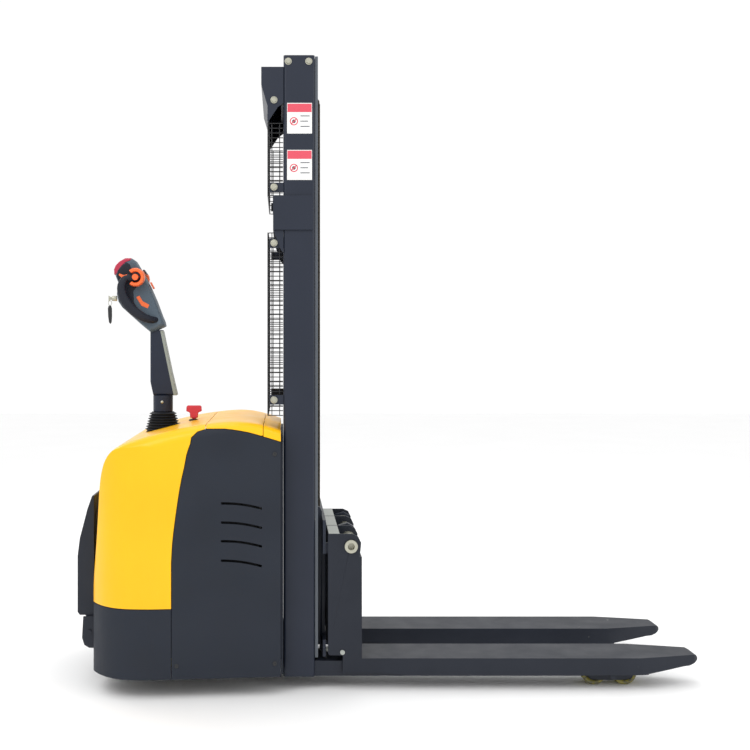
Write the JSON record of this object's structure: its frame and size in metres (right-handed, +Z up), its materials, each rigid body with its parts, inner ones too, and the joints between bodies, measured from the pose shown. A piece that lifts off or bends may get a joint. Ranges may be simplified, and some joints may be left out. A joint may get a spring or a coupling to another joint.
{
  "type": "walkie rider stacker",
  "caption": "Electric walkie stacker with nested two-stage mast, wire-mesh guard, channel forks over low legs, rounded hood, tiller and folded rider platform.",
  "frame": {"origin": "floor, under the centre of the bounding box", "axes": "+X along the forks towards their tips, +Z up, Y across; left is -Y"},
  "size_m": [2.116, 0.77, 2.135],
  "materials": {
    "yellow_cover": "smooth moulded, satin gloss",
    "dark_panel": "fine-grained",
    "dark_paint": "satin powder coat",
    "black_wire": "black dip coat",
    "zinc": "zinc plated",
    "chrome_rod": "ground and chromed",
    "cylinder_paint": "gloss black",
    "roller_steel": "turned",
    "nylon": "natural nylon",
    "label_film": "plain printed film",
    "battery_case": "moulded",
    "red_plastic": "moulded",
    "polyurethane": "cast polyurethane",
    "cast_hub": "cast",
    "boot_rubber": "moulded bellows",
    "tiller_arm": "textured",
    "head_shell": "fine-grained",
    "orange_plastic": "moulded",
    "black_plastic": "fine-grained"
  },
  "bodies": {
    "chassis": {"chassis_frame": "dark_paint", "leg_left": "dark_paint", "leg_right": "dark_paint", "outer_mast_left": "dark_paint", "outer_mast_right": "dark_paint", "mast_crossbeam": "dark_paint", "guard_bracket": "dark_paint", "mesh_guard": "black_wire", "mast_slide_blocks": "nylon", "mast_bolts": "zinc", "mast_labels": "label_film", "lift_cylinder_tubes": "cylinder_paint", "drive_cover": "yellow_cover", "rear_skirt": "dark_panel", "side_panel_left": "dark_panel", "side_panel_right": "dark_panel", "mast_side_cover": "yellow_cover", "battery": "battery_case", "hydraulic_unit": "cylinder_paint", "estop_switch": "battery_case", "platform_brackets": "dark_paint"},
    "inner_mast": {"inner_mast_left": "dark_paint", "inner_mast_right": "dark_paint", "inner_mast_crossbeams": "dark_paint", "lift_rods": "chrome_rod"},
    "mast_roller_pair": {"mast_rollers": "roller_steel"},
    "chain_pulley_pair": {"chain_pulleys": "roller_steel"},
    "carriage": {"carriage_frame": "dark_paint"},
    "carriage_rollers_low": {"carriage_rollers_lower": "roller_steel"},
    "carriage_rollers_high": {"carriage_rollers_upper": "roller_steel"},
    "fork_frame": {"fork_left": "dark_paint", "fork_right": "dark_paint", "fork_crossbar": "zinc", "fork_shaft": "zinc"},
    "battery_lid": {"battery_lid": "yellow_cover"},
    "estop_handle": {"estop_handle": "red_plastic"},
    "drive_unit": {"drive_gearbox": "cylinder_paint", "drive_motor": "cylinder_paint", "tiller_base": "cast_hub", "tiller_boot": "boot_rubber"},
    "drive_wheel": {"drive_wheel_hub": "cast_hub", "drive_wheel_tyre": "polyurethane"},
    "tiller": {"tiller_arm": "tiller_arm", "tiller_head": "head_shell"},
    "throttle": {"throttle_wings": "orange_plastic"},
    "belly_button": {"belly_button": "red_plastic"},
    "horn_button": {"horn_button": "orange_plastic"},
    "lift_rocker": {"lift_rocker": "black_plastic"},
    "key": {"key": "black_plastic"},
    "platform": {"platform": "dark_paint"},
    "bogie_left": {"bogie_left": "dark_paint"},
    "load_wheel_rear_left": {"load_wheel_rear_left": "polyurethane"},
    "load_wheel_front_left": {"load_wheel_front_left": "polyurethane"},
    "bogie_right": {"bogie_right": "dark_paint"},
    "load_wheel_rear_right": {"load_wheel_rear_right": "polyurethane"},
    "load_wheel_front_right": {"load_wheel_front_right": "polyurethane"}
  },
  "joints": [
    {"name": "mast_lift", "type": "slide", "parent": "chassis", "child": "inner_mast", "axis": [0, 0, 1], "range_m": [0, 1.35]},
    {"name": "carriage_lift", "type": "slide", "parent": "inner_mast", "child": "carriage", "axis": [0, 0, 1], "range_m": [0, 1.35]},
    {"name": "fork_frame_float", "type": "hinge", "parent": "carriage", "child": "fork_frame", "pos_m": [-0.1282, 0, 0.4835], "axis": [0, -1, 0], "range_deg": [0, 5]},
    {"name": "mast_roller_spin", "type": "hinge", "parent": "inner_mast", "child": "mast_roller_pair", "pos_m": [-0.3031, 0, 0.152], "axis": [0, 1, 0], "continuous": true},
    {"name": "chain_pulley_spin", "type": "hinge", "parent": "inner_mast", "child": "chain_pulley_pair", "pos_m": [-0.2706, 0, 2.012], "axis": [0, 1, 0], "continuous": true},
    {"name": "carriage_roller_low_spin", "type": "hinge", "parent": "carriage", "child": "carriage_rollers_low", "pos_m": [-0.29035, 0, 0.215], "axis": [0, 1, 0], "continuous": true},
    {"name": "carriage_roller_high_spin", "type": "hinge", "parent": "carriage", "child": "carriage_rollers_high", "pos_m": [-0.29035, 0, 0.545], "axis": [0, 1, 0], "continuous": true},
    {"name": "battery_lid_hinge", "type": "hinge", "parent": "chassis", "child": "battery_lid", "pos_m": [-0.4226, 0, 0.908], "axis": [0, 1, 0], "range_deg": [0, 70]},
    {"name": "estop_pull", "type": "slide", "parent": "chassis", "child": "estop_handle", "axis": [0, 0, 1], "range_m": [0, 0.012]},
    {"name": "steer", "type": "hinge", "parent": "chassis", "child": "drive_unit", "pos_m": [-0.7906, 0, 0.342], "axis": [0, 0, 1], "range_deg": [-90, 90]},
    {"name": "drive_wheel_spin", "type": "hinge", "parent": "drive_unit", "child": "drive_wheel", "pos_m": [-0.7906, 0, 0.115], "axis": [0, 1, 0], "continuous": true},
    {"name": "tiller_tilt", "type": "hinge", "parent": "drive_unit", "child": "tiller", "pos_m": [-0.7906, 0, 0.908], "axis": [0, -1, 0], "range_deg": [0, 65], "stiffness_Nm_per_rad": 18, "springref_deg": -34.38, "deforming": ["tiller_boot"]},
    {"name": "throttle_turn", "type": "hinge", "parent": "tiller", "child": "throttle", "pos_m": [-0.8806, 0, 1.4], "axis": [0, 1, 0], "range_deg": [-30, 30], "stiffness_Nm_per_rad": 0.4},
    {"name": "belly_button_press", "type": "slide", "parent": "tiller", "child": "belly_button", "axis": [1, 0, 0], "range_m": [0, 0.004], "stiffness_N_per_m": 1000, "springref_m": -0.004},
    {"name": "horn_press", "type": "slide", "parent": "tiller", "child": "horn_button", "axis": [-0.8866, 0, -0.4626], "range_m": [0, 0.0018], "stiffness_N_per_m": 1000, "springref_m": -0.002},
    {"name": "lift_rocker_tilt", "type": "hinge", "parent": "tiller", "child": "lift_rocker", "pos_m": [-0.8545, 0, 1.4222], "axis": [0.5665, 0, -0.824], "range_deg": [-6, 6], "stiffness_Nm_per_rad": 0.5},
    {"name": "key_turn", "type": "hinge", "parent": "tiller", "child": "key", "pos_m": [-0.9671, -0.06, 1.325], "axis": [1, 0, 0], "range_deg": [0, 60]},
    {"name": "platform_fold", "type": "hinge", "parent": "chassis", "child": "platform", "pos_m": [-1.0156, 0, 0.185], "axis": [0, -1, 0], "range_deg": [0, 90], "stiffness_Nm_per_rad": 22, "springref_deg": -8.59},
    {"name": "bogie_left_rock", "type": "hinge", "parent": "chassis", "child": "bogie_left", "pos_m": [0.7569, -0.19, 0.043], "axis": [0, 1, 0], "range_deg": [-4, 4]},
    {"name": "load_wheel_rear_left_spin", "type": "hinge", "parent": "bogie_left", "child": "load_wheel_rear_left", "pos_m": [0.7044, -0.19, 0.042], "axis": [0, 1, 0], "continuous": true},
    {"name": "load_wheel_front_left_spin", "type": "hinge", "parent": "bogie_left", "child": "load_wheel_front_left", "pos_m": [0.8094, -0.19, 0.042], "axis": [0, 1, 0], "continuous": true},
    {"name": "bogie_right_rock", "type": "hinge", "parent": "chassis", "child": "bogie_right", "pos_m": [0.7569, 0.19, 0.043], "axis": [0, 1, 0], "range_deg": [-4, 4]},
    {"name": "load_wheel_rear_right_spin", "type": "hinge", "parent": "bogie_right", "child": "load_wheel_rear_right", "pos_m": [0.7044, 0.19, 0.042], "axis": [0, 1, 0], "continuous": true},
    {"name": "load_wheel_front_right_spin", "type": "hinge", "parent": "bogie_right", "child": "load_wheel_front_right", "pos_m": [0.8094, 0.19, 0.042], "axis": [0, 1, 0], "continuous": true}
  ],
  "couplings": [
    {"joint": "carriage_lift", "follows": "mast_lift", "ratio": 1},
    {"joint": "mast_roller_spin", "follows": "mast_lift", "rad_per_m": -25},
    {"joint": "chain_pulley_spin", "follows": "mast_lift", "rad_per_m": 28.571},
    {"joint": "carriage_roller_low_spin", "follows": "mast_lift", "rad_per_m": -24.691},
    {"joint": "carriage_roller_high_spin", "follows": "mast_lift", "rad_per_m": 24.691}
  ]
}
